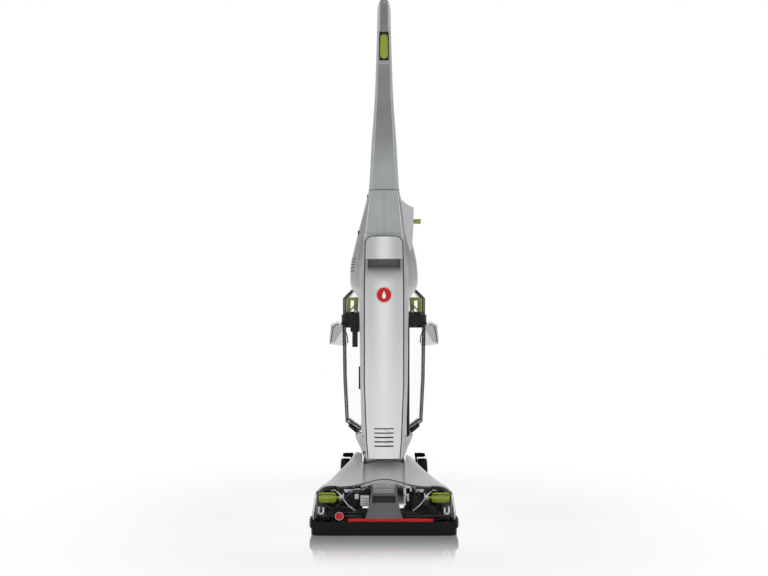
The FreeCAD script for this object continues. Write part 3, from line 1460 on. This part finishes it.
def trigger_pin():
    half = "dims.trigger_half_width + 2.6"
    made = cylinder("trigger_pin_rod", "dims.trigger_pin_radius", f"2 * ({half})",
                    (f"-({half})", "dims.trigger_pin_y", "dims.trigger_pin_z"), along="x")
    piece("trigger_pin", made)


def mode_selector():
    """A knob with a lever, on a stub that turns in the right side of the upper body."""
    z = "dims.selector_height"
    stub = cylinder("selector_stub", "dims.selector_radius", 20, (52, 0, z), along="x")
    knob = cylinder("selector_knob", "dims.selector_radius + 1.2", 15, (65, 0, z), along="x")
    lever = block("selector_lever", (66, -3, f"{z} - 4"), (79, 13, f"{z} + 4"))
    piece("mode_selector", fuse("selector", stub, knob, lever))


def cord_hook(name, height, root, direction):
    """A hook on the back of the handle that the cord is wound round. Its tip points up (+1)
    or down (-1)."""
    body = new_body(name)
    profile = new_sketch(body, "YZ_Plane", "profile")
    outline = [(0, -8), (26, -5), (26, 17), (20, 17), (20, 4), (0, 6)]
    add_outline(profile, [(f"{root} + {y}", f"{height} + {z * direction}") for y, z in outline])
    pad(body, profile, 20, "hook_pad", both_ways=True)
    return body


def cord_hooks():
    cord_hook("cord_hook_lower", "dims.lower_hook_height", 10, -1)
    upper = cord_hook("cord_hook_upper", "dims.upper_hook_height", 10.9, 1)
    spindle = new_sketch(upper, "XZ_Plane", "spindle", -11)
    add_circle(spindle, 0, "dims.upper_hook_height", 3, "spindle")
    pad(upper, spindle, 6, "spindle_pad")


def cord_gland():
    """The tapered gland that the mains cord enters through, facing backwards."""
    y, z = "dims.gland_root", "dims.gland_height"
    shape = cone("gland_cone", 9, 6.5, 22, (0, y, z), along="y")
    bore = cylinder("gland_bore", "dims.cord_bore_radius", 24, (0, f"{y} - 1", z), along="y")
    piece("cord_gland", cut("gland", shape, bore))


# ---------------------------------------------------------------------------------------------
# Tanks
# ---------------------------------------------------------------------------------------------

TANK_SECTIONS = (
    (184, 57, 41, 118, 14),
    (205, 86, 41, 133, 20),
    (300, 91, 41, 138, 22),
    (421, 93, 41, 138, 22),
)
LID_SECTIONS = (
    (443, 92, 41, 137, 22),
    (480, 92, 41, 137, 22),
    (500, 72, 44, 117, 12),
)
SOLUTION_SECTIONS = (
    (505, 67, 40, 138, 24),
    (540, 68, 40, 140, 24),
    (563, 66, 40, 140, 24),
    (600, 58, 40, 136, 22),
    (640, 48, 40, 126, 20),
    (672, 39, 40, 114, 16),
)


def open_shell(sections, wall, bottom_wall):
    """A vessel through ruled sections, open at the top."""
    outer = section_loft(sections)
    inner_sections = []
    for i, (z, half_width, front, back, corner) in enumerate(sections):
        z += bottom_wall if i == 0 else (1 if i == len(sections) - 1 else 0)
        inner_sections.append((z, half_width - wall, front + wall, back - wall, max(corner - wall, 3)))
    return outer.cut(section_loft(inner_sections))


def recovery_tank():
    """The clear tank for the dirty water."""
    floor = 3
    return solid_feature("recovery_tank", open_shell(TANK_SECTIONS, size("dims.tank_wall"), floor))


def lid_collar():
    """The black band between the tank and the clear lid. It steps inside both."""
    low, high = size("dims.collar_low"), size("dims.collar_high")
    step = 6
    outer = Part.Face(rounded_wire(95, 40.5, 140, low, 23)).extrude(V(0, 0, high - low))
    hole = Part.Face(rounded_wire(84, 49, 129, low - 10, 16)).extrude(V(0, 0, high - low + 20))
    spigot = Part.Face(rounded_wire(89.2, 43.9, 134.1, low - step, 19))
    spigot = spigot.extrude(V(0, 0, high - low + 2 * step))
    inlet = box_shape((size("dims.duct_inner") + 2, 30, low + 3), (size("dims.duct_outer") - 2, 52, high - 3))
    # the ears that hold the latch's pin
    pin_y, pin_z = size("dims.latch_pin_y"), size("dims.latch_pin_z")
    ear_inner, ear_thickness, ear_reach = size("dims.latch_lever_half_width + dims.body_gap"), 3.5, 4
    ears = both_sides((ear_inner, 138, pin_z - ear_reach),
                      (ear_inner + ear_thickness, pin_y + ear_reach, pin_z + ear_reach))
    pin_bore = rod_shape(size("dims.latch_pin_radius + dims.running_gap"),
                         (-ear_inner - 9, pin_y, pin_z), (ear_inner + 9, pin_y, pin_z))
    collar = outer.fuse([spigot, ears]).cut([hole, inlet, pin_bore])
    return solid_feature("lid_collar", collar.removeSplitter())


def recovery_lid():
    """A clear dome on the collar, open below."""
    wall = size("dims.wall")
    outer = section_loft(LID_SECTIONS)
    inner = [(442, 92 - wall, 41 + wall, 137 - wall, 20), (480, 92 - wall, 41 + wall, 137 - wall, 20),
             (500 - wall, 72, 44 + wall, 117, 12)]
    lid = outer.cut(section_loft(inner))
    return solid_feature("recovery_lid", lid)


def float_cage():
    """The green cage under the lid that holds the float."""
    body = new_body("float_cage")
    low, high = 438, 482
    plan = new_sketch(body, "XY_Plane", "plan", low)
    add_outline(plan, rectangle(-84, 84, 66, 114))
    pad(body, plan, f"{high} - {low}", "block")
    inside = new_sketch(body, "XY_Plane", "inside", low)
    add_outline(inside, rectangle(-81, 81, 69, 111))
    pocket(body, inside, f"{high} - {low} - 3", "space", reverse=True)
    windows = new_sketch(body, "XZ_Plane", "windows")
    count, pitch, half = 9, 18, 4.5
    for i in range(count):
        x = (i - (count - 1) / 2) * pitch
        add_outline(windows, rectangle(x - half, x + half, low + 9, high - 7), f"w{i}n")
    pocket(body, windows, 260, "cage_windows", both_ways=True)


def inlet_tube():
    """The riser inside the tank that the dirty water comes in through."""
    low, high, wall = 371, 438, 2
    left, right, front, back = -71, -59, 68, 92
    flange, flange_low, flange_high = 4, 405, 417
    tube = block("inlet_outer", (left, front, low), (right, back, high))
    bore = block("inlet_inner", (left + wall, front + wall, low - 1), (right - wall, back - wall, high + 1))
    cap = block("inlet_cap", (left - flange, front - flange, flange_low),
                (right + flange, back + flange, flange_high))
    whole = fuse("inlet_whole", tube, cap)
    piece("inlet_tube", cut("inlet", whole, bore))


def tank_grips():
    """Smoky hoods on both sides of the tank that the hands lift it by."""
    grips = []
    low, high, wall = 379, 427, 2.5
    for side, sign in SIDES:
        outline = [(95, high - 3), (108, high), (118, high - 5), (121, low), (118.5, low),
                   (115.5, high - 8), (107, high - 3), (95, high - 6)]
        grip = prism([(sign * x, z) for x, z in outline], 34, 92, "y")
        hood = [(95, high - 4), (108, high - 1), (117, high - 6), (121, low + 14), (120.5, low)]
        back_cheek = hood + [(112, low), (95, high - 20)]
        front_cheek = hood + [(100, low - 2), (84, low - 5), (81, low - 3), (85, low + 24), (90, low + 40)]
        for cheek, y in ((front_cheek, 34), (back_cheek, 126 - wall)):
            grip = grip.fuse(prism([(sign * x, z) for x, z in cheek], y, wall, "y"))
        grips.append(grip.removeSplitter())
    return solid_feature("tank_grips", Part.makeCompound(grips))


def tank_latch():
    """A spring lever at the back of the lid that locks the tank to the body."""
    body = new_body("tank_latch")
    profile = new_sketch(body, "YZ_Plane", "profile")
    add_outline(profile, [
        (141, 428), (146, 428), (149, 436), (149, 474), (145, 478), (141, 476), (144, 470),
        (144, 440)])
    pad(body, profile, "2 * dims.latch_lever_half_width", "lever", both_ways=True)
    pin = new_sketch(body, "YZ_Plane", "pin")
    add_circle(pin, "dims.latch_pin_y", "dims.latch_pin_z", "dims.latch_pin_radius", "pin")
    pad(body, pin, "2 * dims.latch_lever_half_width + 8", "pin_pad", both_ways=True)


def solution_tank():
    """The grey tank for clean water, on the back of the upper body."""
    wall, neck_height, mouth_depth = size("dims.tank_wall"), 10, 10
    outer = section_loft(SOLUTION_SECTIONS)
    inner = section_loft(SOLUTION_SECTIONS, wall)
    y, top, radius = size("dims.cap_y"), size("dims.solution_top"), size("dims.cap_neck_radius")
    neck = Part.makeCylinder(radius, neck_height + 1, V(0, y, top - 1))
    mouth = Part.makeCylinder(radius - 3, mouth_depth + 2 * neck_height, V(0, y, top - mouth_depth))
    outlet_z = size("dims.valve_height")
    outlet = rod_shape(size("dims.valve_radius + dims.running_gap"), (0, 38, outlet_z), (0, 46, outlet_z))
    return solid_feature("solution_tank", biggest(outer.fuse(neck).cut([inner, mouth, outlet])))


def solution_cap():
    y, top = "dims.cap_y", "dims.solution_top"
    radius, height, knob_half_width, knob_half_depth, knob_top = 20, 16, 14, 3, 24
    outside = cylinder("cap_outside", radius, height, (0, y, f"{top} + dims.body_gap"))
    knob = block("cap_knob", (-knob_half_width, f"{y} - {knob_half_depth}", f"{top} + {height} - 1"),
                 (knob_half_width, f"{y} + {knob_half_depth}", f"{top} + {knob_top}"))
    inside = cylinder("cap_inside", "dims.cap_neck_radius + dims.running_gap", 11.4, (0, y, f"{top} - 0.4"))
    piece("solution_cap", cut("cap", fuse("cap_whole", outside, knob), inside))


def solution_valve():
    """The spring valve through which the clean water leaves the tank."""
    z = "dims.valve_height"
    start, length = 31, 14
    stem = cylinder("valve_stem", "dims.valve_radius", length, (0, start, z), along="y")
    bore = cylinder("valve_bore", "dims.valve_radius / 2", 2 * length, (0, start - 6, z), along="y")
    piece("solution_valve", cut("valve", stem, bore))


def body_screws():
    """The screws that hold the two halves of the body together, all in one node."""
    screws = []
    for number, (x, y, z) in enumerate(BODY_SCREWS):
        head = cylinder(f"body_screw_head_{number}", BODY_SCREW_HEAD, 3, (-x, y, z), along="x")
        shank = cylinder(f"body_screw_shank_{number}", BODY_SCREW_SHANK, x + 3, (3 - x, y, z), along="x")
        screws.append(fuse(f"body_screw_{number}", head, shank))
    group = doc.addObject("Part::Compound", "body_screws")
    group.Links = screws
    piece("body_screws", group)


def build_upright():
    body_shells()
    front_panel()
    badge()
    suction_motor()
    fan_housing()
    fan_impeller()
    suction_duct()
    solution_tube()
    neck_bellows()
    handle_halves()
    trigger()
    trigger_pin()
    mode_selector()
    cord_hooks()
    cord_gland()
    body_screws()


def build_tanks():
    recovery_tank()
    lid_collar()
    recovery_lid()
    float_cage()
    inlet_tube()
    tank_grips()
    tank_latch()
    solution_tank()
    solution_cap()
    solution_valve()


def export():
    """Checks every object and writes each piece."""
    doc.recompute()
    broken = [o.Name for o in doc.Objects if {"Invalid", "Error"} & set(o.State)]
    if broken:
        raise RuntimeError(f"these objects failed: {broken}")
    for name, obj in PIECES.items():
        shape = obj.Shape
        if shape.isNull() or not shape.isValid() or not shape.Solids:
            raise RuntimeError(f"{name} has no valid solid")
    os.makedirs("parts", exist_ok=True)
    for name, obj in PIECES.items():
        obj.Shape.exportStep(f"parts/{name}.step")


build_base()
build_upright()
build_tanks()
export()
